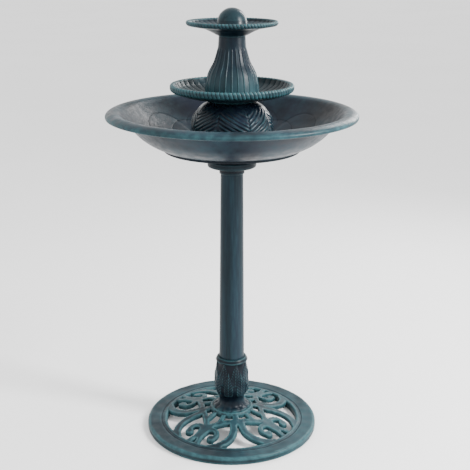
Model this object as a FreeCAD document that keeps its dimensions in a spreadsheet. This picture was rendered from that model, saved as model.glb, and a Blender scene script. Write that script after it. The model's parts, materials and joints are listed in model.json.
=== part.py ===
import FreeCAD, Part
import math
import os
import re

import Sketcher
from FreeCAD import Placement, Rotation, Vector

# Three-tier pedestal garden fountain. The origin is on the ground under the middle of the base,
# +Z is up and the front is -Y. Millimetres and degrees.

# Driving dimensions: alias, value.
SIZES = [
    ("base_radius", 226), ("base_ring_width", 51), ("base_ring_height", 20), ("web_depth", 11),
    ("frame_half", 78.5), ("frame_bar", 14), ("rib_width", 18.5), ("scroll_width", 12), ("scroll_tip_radius", 9.5),
    ("gap_axis_angle", 10), ("hub_radius", 54), ("hub_height", 53), ("hub_spigot_height", 7),
    ("collar_height", 145), ("collar_foot_radius", 49), ("collar_waist_radius", 34.5),
    ("collar_belly_radius", 44.5), ("collar_wall", 5.6), ("collar_socket", 22),
    ("collar_web", 6), ("collar_bore_radius", 27),
    ("post_length", 540), ("post_foot_radius", 33.4), ("post_top_radius", 28.5), ("post_wall", 3),
    ("head_socket", 18), ("head_web", 6), ("head_wall", 3), ("head_flange_radius", 61.5),
    ("head_flange_edge", 8), ("head_seat_rise", 10), ("spigot_radius", 40), ("spigot_wall", 5),
    ("spigot_height", 18), ("lug_reach", 5), ("lug_rise", 10), ("lug_depth", 6),
    ("lug_angle", 24), ("twist_angle", 30), ("slot_margin_angle", 4),
    ("rod_radius", 4), ("rod_overhang", 4.5), ("nut_across", 13), ("nut_depth", 6.5),
    ("washer_radius", 12), ("washer_depth", 2),
    ("basin_radius", 312), ("rim_width", 40), ("rim_height", 12), ("basin_depth", 91),
    ("basin_wall", 3), ("basin_boss_height", 32), ("basin_boss_wall", 10.6),
    ("foot_ring_radius", 171.6), ("foot_ring_width", 6), ("foot_ring_height", 5),
    ("grommet_radius", 7), ("grommet_place", 118), ("grommet_lip", 4), ("grommet_lip_depth", 2.5),
    ("cable_radius", 3),
    ("ball_radius", 103), ("ball_foot_radius", 80), ("ball_height", 113), ("ball_belly_height", 48),
    ("ball_neck_radius", 55), ("ball_spigot_radius", 44), ("ball_spigot_height", 8),
    ("ball_notch_width", 24), ("ball_notch_height", 14), ("locating_ring_height", 6),
    ("locating_ring_width", 5), ("ring_gap_width", 30), ("shell_wall", 3),
    ("middle_bowl_radius", 152.5), ("middle_bowl_height", 42), ("middle_boss_height", 9),
    ("bowl_band", 18), ("bowl_rim_width", 11),
    ("column_height", 146), ("column_foot_radius", 67.5), ("column_neck_radius", 34),
    ("column_shoulder", 49), ("column_bend", 29), ("column_throat", 64),
    ("top_bowl_radius", 111.5), ("top_bowl_height", 35), ("top_spigot_radius", 26.8),
    ("top_spigot_depth", 12), ("top_band", 11),
    ("finial_height", 60), ("finial_foot_radius", 40), ("finial_waist_radius", 34.2),
    ("finial_notch_width", 9), ("finial_notch_height", 7),
    ("tube_radius", 8), ("tube_wall", 2), ("tube_ease", 0.1), ("nozzle_lip", 2.5),
    ("nozzle_height", 16), ("nozzle_stem", 10), ("nozzle_wall", 2), ("jet_radius", 1.6), ("jet_circle_radius", 5),
    ("pump_width", 44), ("pump_height", 40), ("pump_length", 54), ("pump_front", 9),
    ("pump_wall", 3), ("foot_height", 6), ("foot_radius", 7), ("foot_stem_radius", 2.5),
    ("foot_stem", 3), ("chamber_depth", 15), ("impeller_room", 2.5), ("rotor_room", 0.8),
    ("rotor_end_room", 1.5), ("pot_wall", 1.5), ("outlet_height", 18),
    ("outlet_bore_radius", 4), ("magnet_radius", 8.5), ("magnet_length", 26),
    ("impeller_radius", 12.5), ("impeller_disc", 2), ("blade_depth", 7), ("blade_width", 1.4),
    ("shaft_radius", 1.25), ("bush_radius", 3), ("bush_length", 2.5), ("chamber_lid_depth", 2.5),
    ("inlet_radius", 6), ("intake_depth", 18), ("intake_wall", 2), ("intake_slot_width", 2.2),
    ("intake_slot_count", 7), ("dial_radius", 8), ("dial_depth", 3),
    ("dial_drop", 9), ("dial_pin_radius", 2), ("gland_radius", 5.5), ("gland_length", 9),
    ("fit_gap", 0.15), ("running_gap", 0.06), ("free_gap", 0.4),
]

# Levels and radii that follow from them.
DERIVED = {
    "ring_inner": "base_radius - base_ring_width",
    "collar_top": "hub_height + collar_height",
    "collar_top_radius": "post_foot_radius + collar_wall",
    "post_foot": "collar_top - collar_socket",
    "post_top": "post_foot + post_length",
    "head_foot": "post_top - head_socket",
    "head_bore": "post_top_radius + (post_foot_radius - post_top_radius) * head_socket / post_length"
                 " + fit_gap",
    "head_neck": "head_bore + head_wall",
    "head_seat": "post_top + head_web + head_seat_rise",
    "web_top": "post_top + head_web",
    "rod_hole": "rod_radius + fit_gap",
    "lug_room": "spigot_radius + lug_reach + free_gap",
    "basin_boss_radius": "lug_room + basin_boss_wall",
    "basin_under": "head_seat + basin_boss_height",
    "basin_floor": "basin_under + basin_wall",
    "crease_radius": "basin_radius - rim_width",
    "rim_crest": "basin_floor + basin_depth",
    "lip_level": "rim_crest - rim_height",
    "ball_inner_foot": "ball_foot_radius - shell_wall",
    "ball_top": "basin_floor + ball_height",
    "middle_under": "ball_top + middle_boss_height",
    "middle_floor": "middle_under + shell_wall",
    "middle_rim": "ball_top + middle_bowl_height",
    "column_top": "middle_floor + column_height",
    "top_floor": "column_top + 2 * shell_wall",
    "top_rim": "column_top + top_bowl_height",
    "tube_hole": "tube_radius + fit_gap",
    "tube_bore": "tube_radius - tube_wall",
    "outlet_radius": "tube_bore - tube_ease",
    "chamber_radius": "impeller_radius + impeller_room",
    "pot_radius": "magnet_radius + rotor_room",
    "pot_depth": "magnet_length + bush_length + rotor_end_room",
    "pump_under": "basin_floor + foot_height",
    "rotor_level": "pump_under + pump_height / 2",
    "pump_top": "pump_under + pump_height",
    "pump_rear": "pump_length - pump_front",
    "chamber_rear": "chamber_depth - pump_front",
    "pot_rear": "chamber_rear + pot_depth",
    "outlet_top": "pump_top + outlet_height",
    "tube_foot": "outlet_top - outlet_height + 2 * fit_gap",
    "tube_top": "top_floor + nozzle_stem + 2",
}

doc = FreeCAD.newDocument("garden_fountain")
sheet = doc.addObject("Spreadsheet::Sheet", "sizes")
for row, (alias, amount) in enumerate(SIZES, start=1):
    sheet.set(f"A{row}", alias)
    sheet.set(f"B{row}", str(amount))
    sheet.setAlias(f"B{row}", alias)
doc.recompute()
ALIASES = {alias for alias, _ in SIZES}


def bound(text):
    """Expression on the sheet for a formula written with aliases and derived names."""
    def expand(match):
        word = match.group(0)
        if word in DERIVED:
            return "(" + bound(DERIVED[word]) + ")"
        return "sizes." + word if word in ALIASES else word
    return re.sub(r"[a-z_]+[a-z]", expand, str(text))


def value(text):
    """Number that a formula gives with the sheet as it stands."""
    return float(sheet.evalExpression(bound(text)))


ARCH_BULGE = 0.7


# ---- Sketches and bodies --------------------------------------------------------------------

def new_body(label):
    body = doc.addObject("PartDesign::Body", label)
    body.Label = label
    return body


def new_sketch(body, name, plane, offset=None):
    sketch = body.newObject("Sketcher::SketchObject", name)
    support = [item for item in body.Origin.OriginFeatures if item.Role == plane][0]
    sketch.AttachmentSupport = [(support, "")]
    sketch.MapMode = "FlatFace"
    if offset is not None:
        sketch.AttachmentOffset = offset
    return sketch


def draw_outline(sketch, corners):
    """Closed outline. A corner is (x, y), or (x, y, bulge) where an arc leads to the next corner.

    The bulge is the tangent of a quarter of the arc's angle, positive when it turns
    counterclockwise, so an arc keeps its shape when its ends move. A fourth item "dome" keeps
    the arc's centre on the upright axis instead, as the top of a round cap needs.
    """
    count = len(corners)
    spots = [Vector(value(corner[0]), value(corner[1]), 0) for corner in corners]
    ends = []
    for index, corner in enumerate(corners):
        start = spots[index]
        stop = spots[(index + 1) % count]
        if len(corner) == 2:
            sketch.addGeometry(Part.LineSegment(start, stop))
            ends.append((1, 2))
            continue
        bulge = corner[2]
        chord = stop - start
        if len(corner) == 4:
            bulge = math.copysign(math.tan(math.atan2(abs(chord.y), abs(chord.x)) / 2), bulge)
        left = Vector(-chord.y, chord.x, 0)
        centre = (start + stop) * 0.5 + left * ((1 - bulge ** 2) / (4 * bulge))
        radius = centre.distanceToPoint(start)
        first, last = (start, stop) if bulge > 0 else (stop, start)
        low = math.atan2(first.y - centre.y, first.x - centre.x)
        high = math.atan2(last.y - centre.y, last.x - centre.x)
        if high < low:
            high += 2 * math.pi
        circle = Part.Circle(centre, Vector(0, 0, 1), radius)
        sketch.addGeometry(Part.ArcOfCircle(circle, low, high))
        ends.append((1, 2) if bulge > 0 else (2, 1))
    drivers = []
    for index, corner in enumerate(corners):
        after = (index + 1) % count
        sketch.addConstraint(Sketcher.Constraint("Coincident", index, ends[index][1],
                                                 after, ends[after][0]))
        for axis, kind, text in ((-2, "DistanceX", corner[0]), (-1, "DistanceY", corner[1])):
            place = spots[index].x if axis == -2 else spots[index].y
            if text == "0":
                sketch.addConstraint(Sketcher.Constraint("PointOnObject", index, ends[index][0], axis))
                continue
            # a distance is never negative, so a place on the far side is measured the other way
            spot = (index, ends[index][0])
            span = (*spot, -1, 1, -place) if place < 0 else (-1, 1, *spot, place)
            number = sketch.addConstraint(Sketcher.Constraint(kind, *span))
            drivers.append((number, f"-({bound(text)})" if place < 0 else bound(text)))
        if len(corner) == 4:
            sketch.addConstraint(Sketcher.Constraint("PointOnObject", index, 3, -2))
        elif len(corner) == 3:
            across = f"({bound(corners[after][0])} - ({bound(corner[0])}))"
            along = f"({bound(corners[after][1])} - ({bound(corner[1])}))"
            share = (1 + corner[2] ** 2) / (4 * abs(corner[2]))
            number = sketch.addConstraint(
                Sketcher.Constraint("Radius", index, sketch.Geometry[index].Radius))
            drivers.append((number, f"sqrt({across} ^ 2 + {along} ^ 2) * {share:.6f}"))
    for number, text in drivers:
        sketch.setExpression(f"Constraints[{number}]", text)


def turned(body, name, corners, kind="PartDesign::Revolution", angle="360", offset=None):
    """Outline in the XZ plane turned about the upright axis, added to or cut from the body."""
    sketch = new_sketch(body, name + "_outline", "XZ_Plane", offset)
    draw_outline(sketch, corners)
    feature = body.newObject(kind, name)
    feature.Profile = sketch
    feature.ReferenceAxis = (sketch, ["V_Axis"])
    feature.setExpression("Angle", bound(angle))
    feature.Midplane = angle != "360"
    doc.recompute()
    return feature


def patterned(body, name, feature, count, sweep=360):
    pattern = body.newObject("PartDesign::PolarPattern", name)
    pattern.Originals = [feature]
    pattern.Axis = (feature.Profile[0], ["V_Axis"])
    pattern.Angle = sweep
    pattern.Occurrences = count
    body.Tip = pattern
    doc.recompute()
    return pattern


def notched(body, name, width, low, high, count):
    """Round-topped slots through the foot of a shell, an even count of them evenly round it."""
    sketch = new_sketch(body, name + "_outline", "XZ_Plane")
    half = f"({width}) / 2"
    draw_outline(sketch, [(f"-{half}", low), (half, low), (half, f"{high} - {half}", ARCH_BULGE),
                          (f"-{half}", f"{high} - {half}")])
    feature = body.newObject("PartDesign::Pocket", name)
    feature.Profile = sketch
    feature.Type = "ThroughAll"
    feature.Midplane = True
    doc.recompute()
    pairs = count // 2
    patterned(body, name + "_pattern", feature, pairs, 180 * (pairs - 1) / pairs)


# ---- Primitives and booleans ----------------------------------------------------------------

def place(item, x, y, z, rotation=None):
    item.Placement = Placement(Vector(0, 0, 0), rotation or Rotation())
    for axis, text in zip("xyz", (x, y, z)):
        item.setExpression(f"Placement.Base.{axis}", bound(text))
    return item


def block(name, x, y, z, width, length, height):
    item = doc.addObject("Part::Box", name)
    item.setExpression("Length", bound(width))
    item.setExpression("Width", bound(length))
    item.setExpression("Height", bound(height))
    return place(item, x, y, z)


UPRIGHT = Rotation()
REARWARD = Rotation(Vector(1, 0, 0), -90)


def rod(name, radius, x, y, z, length, rotation=UPRIGHT):
    item = doc.addObject("Part::Cylinder", name)
    item.setExpression("Radius", bound(radius))
    item.setExpression("Height", bound(length))
    return place(item, x, y, z, rotation)


def joined(name, *items):
    item = doc.addObject("Part::MultiFuse", name)
    item.Shapes = list(items)
    item.Refine = True
    return item


def grouped(name, *items):
    item = doc.addObject("Part::Compound", name)
    item.Links = list(items)
    return item


def bored(name, base, *tools):
    item = doc.addObject("Part::Cut", name)
    item.Base = base
    item.Tool = tools[0] if len(tools) == 1 else joined(name + "_tools", *tools)
    return item


PIECES = []


def keep(item, label):
    item.Label = label
    PIECES.append(item)
    return item


# ---- Base: one openwork casting ---------------------------------------------------------------

def ribbon(stretches, width):
    """Flat band of one width with round ends, along straight (2 points) and round (3) stretches."""
    edges = [(Part.LineSegment if len(stretch) == 2 else Part.Arc)(*stretch).toShape()
             for stretch in stretches]
    return Part.Wire(edges).makeOffset2D(width / 2, 0, True, False, False)


def polar(centre, radius, degrees):
    angle = math.radians(degrees)
    return centre + Vector(radius * math.cos(angle), radius * math.sin(angle), 0)


def sector(inner, outer, middle, spread):
    """Flat piece of a ring between two radii, spread degrees wide about a direction."""
    origin = Vector(0, 0, 0)
    low, high = middle - spread / 2, middle + spread / 2
    edges = [
        Part.Arc(polar(origin, inner, low), polar(origin, inner, middle),
                 polar(origin, inner, high)).toShape(),
        Part.LineSegment(polar(origin, inner, high), polar(origin, outer, high)).toShape(),
        Part.Arc(polar(origin, outer, high), polar(origin, outer, middle),
                 polar(origin, outer, low)).toShape(),
        Part.LineSegment(polar(origin, outer, low), polar(origin, inner, low)).toShape(),
    ]
    return Part.Face(Part.Wire(edges))


def lathe(corners):
    """Solid turned about the upright axis from a closed outline of radius and height."""
    spots = [Vector(radius, 0, height) for radius, height in corners]
    face = Part.Face(Part.makePolygon(spots + spots[:1]))
    return face.revolve(Vector(0, 0, 0), Vector(0, 0, 1), 360)


def make_base():
    outer = value("base_radius")
    inner = value("ring_inner")
    ring_top = value("base_ring_height")
    hub = value("hub_radius")
    hub_top = value("hub_height")
    depth = value("web_depth")
    half = value("frame_half")
    bar = value("frame_bar")
    rib = value("rib_width")
    scroll = value("scroll_width")
    reach = inner / 160
    turn = value("gap_axis_angle")

    # the openwork in one quarter, laid out about the axis between two motifs
    bands = []
    bow = 2.5 * reach
    for side in (1, -1):
        centre = Vector(85, 70 * side, 0) * reach
        swing = 59.5 * reach
        foot = Vector(55, 4 * side, 0) * reach
        start = polar(centre, swing, -88 * side)
        crown = polar(centre, swing, -42 * side)
        finish = polar(centre, swing, 8 * side)
        bands.append(ribbon([(foot, start), (start, crown, finish)], rib))
    corner = Vector(half, half, 0)
    opposite = Vector(half, -half, 0)
    bands.append(ribbon([(corner, Vector(half - bow, 0, 0), opposite)], bar))
    # the scroll motif, on the axis a half quarter further round
    motif = []
    tip = value("scroll_tip_radius") * reach
    for side in (1, -1):
        centre = Vector(118.5, 22 * side, 0) * reach
        curl = 15.2 * reach
        start = polar(centre, curl, -95 * side)
        crest = polar(centre, curl, 180)
        finish = polar(centre, curl, 40 * side)
        stem = Vector(138, 5.5 * side, 0) * reach
        root = Vector(164, 13 * side, 0) * reach
        motif.append(ribbon([(root, stem), (stem, start), (start, crest, finish)], scroll))
        motif.append(Part.Face(Part.Wire(Part.makeCircle(tip, finish))))
    spine = Part.makePlane(38 * reach, scroll, Vector(98 * reach, -scroll / 2, 0))
    motif.append(spine)
    for face in motif:
        face.rotate(Vector(0, 0, 0), Vector(0, 0, 1), 45)
    tall = hub_top + ring_top
    quarter = [face.extrude(Vector(0, 0, tall)) for face in bands + motif]

    # the plate inside the square frame, with three windows to a quarter
    hub_edge = hub + 5
    plate = Part.makeBox(2 * half, 2 * half, tall, Vector(-half, -half, 0))
    windows = []
    for step in range(4):
        for middle, far, spread in ((45, 1.24 * half - bar / 4, 15), (17, half - bar, 18),
                                    (73, half - bar, 18)):
            windows.append(sector(hub_edge, far, middle + 90 * step, spread)
                           .extrude(Vector(0, 0, tall)))
    plate = plate.cut(windows)
    solids = []
    for step in range(4):
        for solid in quarter:
            copy = solid.copy()
            copy.rotate(Vector(0, 0, 0), Vector(0, 0, 1), 90 * step)
            solids.append(copy)
    openwork = plate.fuse(solids)
    openwork.rotate(Vector(0, 0, 0), Vector(0, 0, 1), turn)

    # the domed skin that the openwork is cut from, the ring round it and the hub in the middle
    crown_line = [(inner + 2, ring_top), (inner * 0.69, ring_top + 0.36 * (hub_top - ring_top)),
                  (inner * 0.47, ring_top + 0.66 * (hub_top - ring_top)), (hub, hub_top - 3)]
    skin = lathe(crown_line + [(radius, height - depth) for radius, height in crown_line[::-1]])
    bead = 0.17 * value("base_ring_width")
    land = 0.2 * value("base_ring_width")
    ring = lathe([(inner, 0), (inner + land, 0), (inner + land, ring_top / 3),
                  (outer - land, ring_top / 3), (outer - land, 0), (outer - 1, 0),
                  (outer, 2), (outer, ring_top * 0.72), (outer - 1.5, ring_top * 0.86),
                  (outer - 5, ring_top * 0.93),
                  (inner + bead, ring_top * 0.9), (inner + bead * 0.75, ring_top),
                  (inner + bead * 0.25, ring_top), (inner, ring_top * 0.8)])
    bore = value("rod_hole")
    spigot = value("collar_bore_radius - fit_gap")
    spigot_top = hub_top + value("hub_spigot_height")
    centre = lathe([(bore, hub_top - depth), (hub + 6, hub_top - depth), (hub + 6, hub_top - 6),
                    (hub, hub_top - 1), (hub - 1, hub_top), (spigot, hub_top),
                    (spigot, spigot_top), (bore, spigot_top)])
    return openwork.common(skin).fuse([ring, centre]).removeSplitter()


base = doc.addObject("Part::Feature", "base")
base.Shape = make_base()
keep(base, "base")

# ---- Collar, post and post head --------------------------------------------------------------

collar = new_body("collar")
turned(collar, "collar_shell", [
    ("collar_bore_radius", "hub_height"),
    ("collar_foot_radius", "hub_height"),
    ("collar_foot_radius", "hub_height + 4", 0.2),
    ("collar_waist_radius", "hub_height + 0.15 * collar_height"),
    ("collar_waist_radius", "hub_height + 0.2 * collar_height", -0.12),
    ("collar_belly_radius", "hub_height + 0.52 * collar_height", 0.05),
    ("collar_top_radius + 1.5", "collar_top - 18"),
    ("collar_top_radius + 1.5", "collar_top - 4"),
    ("collar_top_radius - 1", "collar_top"),
    ("post_foot_radius + fit_gap", "collar_top"),
    ("post_foot_radius + fit_gap", "post_foot"),
    ("rod_hole", "post_foot"),
    ("rod_hole", "post_foot - collar_web"),
    ("collar_bore_radius", "post_foot - collar_web"),
])
keep(collar, "collar")

post = new_body("post")
turned(post, "post_tube", [
    ("post_foot_radius", "post_foot"),
    ("post_top_radius", "post_top"),
    ("post_top_radius - post_wall", "post_top"),
    ("post_foot_radius - post_wall", "post_foot"),
])
keep(post, "post")

post_head = new_body("post_head")
turned(post_head, "head_turning", [
    ("head_bore", "head_foot"),
    ("head_neck - 1", "head_foot"),
    ("head_neck", "head_foot + 1"),
    ("head_neck", "head_foot + 0.4 * head_socket", -0.3),
    ("head_flange_radius - 4", "head_seat - head_flange_edge - 3", 0.25),
    ("head_flange_radius", "head_seat - head_flange_edge"),
    ("head_flange_radius", "head_seat - 2"),
    ("head_flange_radius - 2", "head_seat"),
    ("spigot_radius", "head_seat"),
    ("spigot_radius", "head_seat + spigot_height"),
    ("spigot_radius - spigot_wall", "head_seat + spigot_height"),
    ("spigot_radius - spigot_wall", "web_top"),
    ("rod_hole", "web_top"),
    ("rod_hole", "post_top"),
    ("head_bore", "post_top"),
])
lugs = turned(post_head, "lug", [
    ("spigot_radius - 2", "head_seat + lug_rise"),
    ("spigot_radius + lug_reach", "head_seat + lug_rise"),
    ("spigot_radius + lug_reach", "head_seat + lug_rise + lug_depth"),
    ("spigot_radius - 2", "head_seat + lug_rise + lug_depth"),
], angle="lug_angle")
patterned(post_head, "lugs", lugs, 3)
keep(post_head, "post_head")

# ---- Tie rod with its washers and nuts ------------------------------------------------------

hub_under = "hub_height - web_depth"
lower_nut = f"{hub_under} - washer_depth - nut_depth"
upper_nut = "web_top + washer_depth"
keep(rod("tie_rod", "rod_radius", "0", "0", f"{lower_nut} - rod_overhang",
         f"{upper_nut} + nut_depth - ({lower_nut}) + 2 * rod_overhang"), "tie_rod")


def washer(name, level):
    return bored(name, rod(name + "_disc", "washer_radius", "0", "0", level, "washer_depth"),
                 rod(name + "_hole", "rod_hole", "0", "0", level, "washer_depth"))


def nut(name, level):
    block_of_six = doc.addObject("Part::Prism", name + "_hex")
    block_of_six.Polygon = 6
    block_of_six.setExpression("Circumradius", bound("nut_across / sqrt(3)"))
    block_of_six.setExpression("Height", bound("nut_depth"))
    place(block_of_six, "0", "0", level)
    return bored(name, block_of_six, rod(name + "_hole", "rod_hole", "0", "0", level, "nut_depth"))


keep(grouped("rod_washers", washer("lower_washer", f"{hub_under} - washer_depth"),
             washer("upper_washer", "web_top")), "rod_washers")
keep(grouped("rod_nuts", nut("lower_nut", lower_nut), nut("upper_nut", upper_nut)), "rod_nuts")

# ---- Basin --------------------------------------------------------------------------------------

basin = new_body("basin_blank")
knee = "foot_ring_radius + 0.46 * (crease_radius - foot_ring_radius)"
knee_level = "basin_under + 0.26 * basin_depth"
turned(basin, "basin_shell", [
    ("spigot_radius + running_gap", "head_seat"),
    ("basin_boss_radius", "head_seat"),
    ("basin_boss_radius", "basin_under"),
    ("foot_ring_radius - foot_ring_width", "basin_under"),
    ("foot_ring_radius - foot_ring_width", "basin_under - foot_ring_height"),
    ("foot_ring_radius", "basin_under - foot_ring_height"),
    ("foot_ring_radius", "basin_under + 1"),
    ("foot_ring_radius + 3", "basin_under + 2", 0.06),
    (knee, knee_level, 0.1),
    ("crease_radius + basin_wall", "rim_crest - 12", -0.2),
    ("basin_radius - 0.54 * rim_width", "rim_crest - basin_wall - 0.5", -0.2),
    ("basin_radius - basin_wall - 1", "lip_level - 3"),
    ("basin_radius - 1", "lip_level - 4"),
    ("basin_radius", "lip_level", 0.25),
    ("basin_radius - 0.54 * rim_width", "rim_crest", 0.14),
    ("crease_radius", "rim_crest - 8", -0.1),
    (f"{knee} - 1", f"{knee_level} + 4", -0.06),
    ("foot_ring_radius + 2", "basin_floor + 2.5"),
    ("foot_ring_radius - 6", "basin_floor"),
    ("ball_inner_foot - free_gap", "basin_floor"),
    ("ball_inner_foot - free_gap", "basin_floor + locating_ring_height"),
    ("ball_inner_foot - free_gap - locating_ring_width", "basin_floor + locating_ring_height"),
    ("ball_inner_foot - free_gap - locating_ring_width", "basin_floor"),
    ("0", "basin_floor"),
    ("0", "basin_under"),
    ("lug_room", "basin_under"),
    ("lug_room", "head_seat + lug_rise - free_gap"),
    ("spigot_radius + running_gap", "head_seat + lug_rise - free_gap"),
])
slot = turned(basin, "entry_slot", [
    ("spigot_radius - 1", "head_seat - 1"),
    ("lug_room", "head_seat - 1"),
    ("lug_room", "head_seat + lug_rise + 1"),
    ("spigot_radius - 1", "head_seat + lug_rise + 1"),
], "PartDesign::Groove", "lug_angle + slot_margin_angle",
    Placement(Vector(0, 0, 0), Rotation(Vector(0, 1, 0), -value("twist_angle"))))
patterned(basin, "entry_slots", slot, 3)
cable_hole = rod("cable_hole", "grommet_radius", "0", "grommet_place", "basin_under - 1",
                 "basin_wall + 2")
ring_gaps = [
    block("ring_gap_front", "-ring_gap_width / 2", "-ball_foot_radius", "basin_floor",
          "ring_gap_width", "2 * ball_foot_radius", "locating_ring_height + 1"),
    block("ring_gap_side", "-ball_foot_radius", "-ring_gap_width / 2", "basin_floor",
          "2 * ball_foot_radius", "ring_gap_width", "locating_ring_height + 1"),
]
keep(bored("basin_bored", basin, cable_hole, *ring_gaps), "basin")

grommet = joined(
    "grommet_blank",
    rod("grommet_body", "grommet_radius - fit_gap", "0", "grommet_place", "basin_under", "basin_wall"),
    rod("grommet_upper", "grommet_radius + grommet_lip", "0", "grommet_place", "basin_floor",
        "grommet_lip_depth"),
    rod("grommet_lower", "grommet_radius + grommet_lip", "0", "grommet_place",
        "basin_under - grommet_lip_depth", "grommet_lip_depth"))
keep(bored("grommet_bored", grommet,
           rod("grommet_hole", "cable_radius", "0", "grommet_place",
               "basin_under - grommet_lip_depth", "basin_wall + 2 * grommet_lip_depth")),
     "cable_grommet")

# ---- Ball cover, bowls, column and finial ---------------------------------------------------

ball = new_body("ball_cover")
turned(ball, "ball_shell", [
    ("ball_inner_foot", "basin_floor"),
    ("ball_foot_radius", "basin_floor", 0.25),
    ("ball_radius", "basin_floor + ball_belly_height", 0.33),
    ("ball_neck_radius", "ball_top"),
    ("ball_spigot_radius", "ball_top"),
    ("ball_spigot_radius", "ball_top + ball_spigot_height"),
    ("ball_spigot_radius - shell_wall", "ball_top + ball_spigot_height"),
    ("ball_spigot_radius - shell_wall", "ball_top - shell_wall"),
    ("ball_neck_radius - 2", "ball_top - shell_wall", -0.33),
    ("ball_radius - shell_wall", "basin_floor + ball_belly_height", -0.25),
])
notched(ball, "water_notch", "ball_notch_width", "basin_floor - 1",
        "basin_floor + ball_notch_height", 4)
keep(ball, "ball_cover")

middle_bowl = new_body("middle_bowl")
turned(middle_bowl, "middle_shell", [
    ("ball_spigot_radius + fit_gap", "ball_top"),
    ("ball_neck_radius", "ball_top"),
    ("ball_neck_radius + 2", "middle_under"),
    ("0.6 * middle_bowl_radius", "middle_under", 0.12),
    ("middle_bowl_radius - 5", "middle_rim - bowl_band"),
    ("middle_bowl_radius", "middle_rim - bowl_band + 5"),
    ("middle_bowl_radius", "middle_rim - 4", 0.3),
    ("middle_bowl_radius - 4", "middle_rim"),
    ("middle_bowl_radius - bowl_rim_width", "middle_rim - 2"),
    ("middle_bowl_radius - bowl_rim_width - 3", "middle_rim - bowl_band + 6", -0.12),
    ("0.6 * middle_bowl_radius", "middle_floor"),
    ("column_foot_radius - shell_wall - 2 * free_gap", "middle_floor"),
    ("column_foot_radius - shell_wall - 2 * free_gap", "middle_floor + locating_ring_height"),
    ("column_foot_radius - 2 * shell_wall - 2 * free_gap", "middle_floor + locating_ring_height"),
    ("column_foot_radius - 2 * shell_wall - 2 * free_gap", "middle_floor"),
    ("tube_hole", "middle_floor"),
    ("tube_hole", "middle_under"),
    ("ball_spigot_radius + fit_gap", "middle_under"),
])
keep(middle_bowl, "middle_bowl")

column = new_body("column")
shoulder = "middle_floor + column_shoulder"
turned(column, "column_shell", [
    ("column_foot_radius - shell_wall", "middle_floor"),
    ("column_foot_radius", "middle_floor", 0.05),
    ("column_foot_radius - 6", shoulder, 0.09),
    ("0.5 * (column_foot_radius + column_neck_radius) - 3", f"{shoulder} + column_bend", -0.1),
    ("column_neck_radius + 2.5", f"{shoulder} + column_throat", -0.03),
    ("column_neck_radius", "column_top"),
    ("top_spigot_radius + fit_gap", "column_top"),
    ("top_spigot_radius + fit_gap", "column_top - top_spigot_depth - 2"),
    ("column_neck_radius + 2.5 - shell_wall", f"{shoulder} + column_throat", 0.1),
    ("0.5 * (column_foot_radius + column_neck_radius) - 3 - shell_wall", f"{shoulder} + column_bend - 1", -0.09),
    ("column_foot_radius - 6 - shell_wall", shoulder, -0.05),
])
keep(column, "column")

top_bowl = new_body("top_bowl")
turned(top_bowl, "top_shell", [
    ("top_spigot_radius - shell_wall", "column_top - top_spigot_depth"),
    ("top_spigot_radius", "column_top - top_spigot_depth"),
    ("top_spigot_radius", "column_top"),
    ("column_neck_radius", "column_top", 0.08),
    ("column_neck_radius + 0.45 * (top_bowl_radius - column_neck_radius)",
     "column_top + 0.49 * top_bowl_height"),
    ("top_bowl_radius - 4", "top_rim - top_band"),
    ("top_bowl_radius", "top_rim - top_band + 4"),
    ("top_bowl_radius", "top_rim - 3", 0.3),
    ("top_bowl_radius - 3", "top_rim"),
    ("top_bowl_radius - 8", "top_rim - 1"),
    ("top_bowl_radius - 10", "top_rim - top_band + 4"),
    ("column_neck_radius + 0.45 * (top_bowl_radius - column_neck_radius) - 1",
     "column_top + 0.49 * top_bowl_height + shell_wall", -0.08),
    ("finial_foot_radius + 4", "top_floor"),
    ("tube_hole", "top_floor"),
    ("tube_hole", "column_top + shell_wall"),
    ("top_spigot_radius - shell_wall", "column_top + shell_wall"),
])
keep(top_bowl, "top_bowl")

finial = new_body("finial")
turned(finial, "finial_shell", [
    ("finial_foot_radius - shell_wall", "top_floor"),
    ("finial_foot_radius", "top_floor"),
    ("finial_foot_radius - 1.5", "top_floor + 0.3 * finial_height", 0.06),
    ("finial_waist_radius", "top_floor + 0.6 * finial_height", 1, "dome"),
    ("0", "top_floor + finial_height"),
    ("0", "top_floor + finial_height - shell_wall", -1, "dome"),
    ("finial_waist_radius - shell_wall", "top_floor + 0.58 * finial_height", -0.06),
    ("finial_foot_radius - 1.5 - shell_wall", "top_floor + 0.28 * finial_height"),
])
notched(finial, "outlet_notch", "finial_notch_width", "top_floor - 1",
        "top_floor + finial_notch_height", 6)
keep(finial, "finial")

# ---- Riser tube and spray nozzle ------------------------------------------------------------

keep(bored("riser_bored", rod("riser_body", "tube_radius", "0", "0", "tube_foot", "tube_top - tube_foot"),
           rod("riser_bore", "tube_bore", "0", "0", "tube_foot",
               "tube_top - tube_foot")), "riser_tube")

nozzle_blank = joined(
    "nozzle_blank",
    rod("nozzle_plug", "tube_bore - fit_gap", "0", "0", "tube_top - nozzle_stem",
        "nozzle_stem + 1"),
    rod("nozzle_cap", "tube_radius + nozzle_lip", "0", "0", "tube_top", "nozzle_height - nozzle_stem"))
jets = [rod("nozzle_bore", "tube_bore - nozzle_wall", "0", "0", "tube_top - nozzle_stem",
            "nozzle_stem + 2")]
for index in range(6):
    jet = rod(f"jet_{index}", "jet_radius", f"jet_circle_radius * cos({60 * index})",
              f"jet_circle_radius * sin({60 * index})", "tube_top - 1", "nozzle_height")
    jets.append(jet)
keep(bored("nozzle_bored", nozzle_blank, *jets), "spray_nozzle")

# ---- Pump: housing, motor, impeller, strainer and feet --------------------------------------

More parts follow.
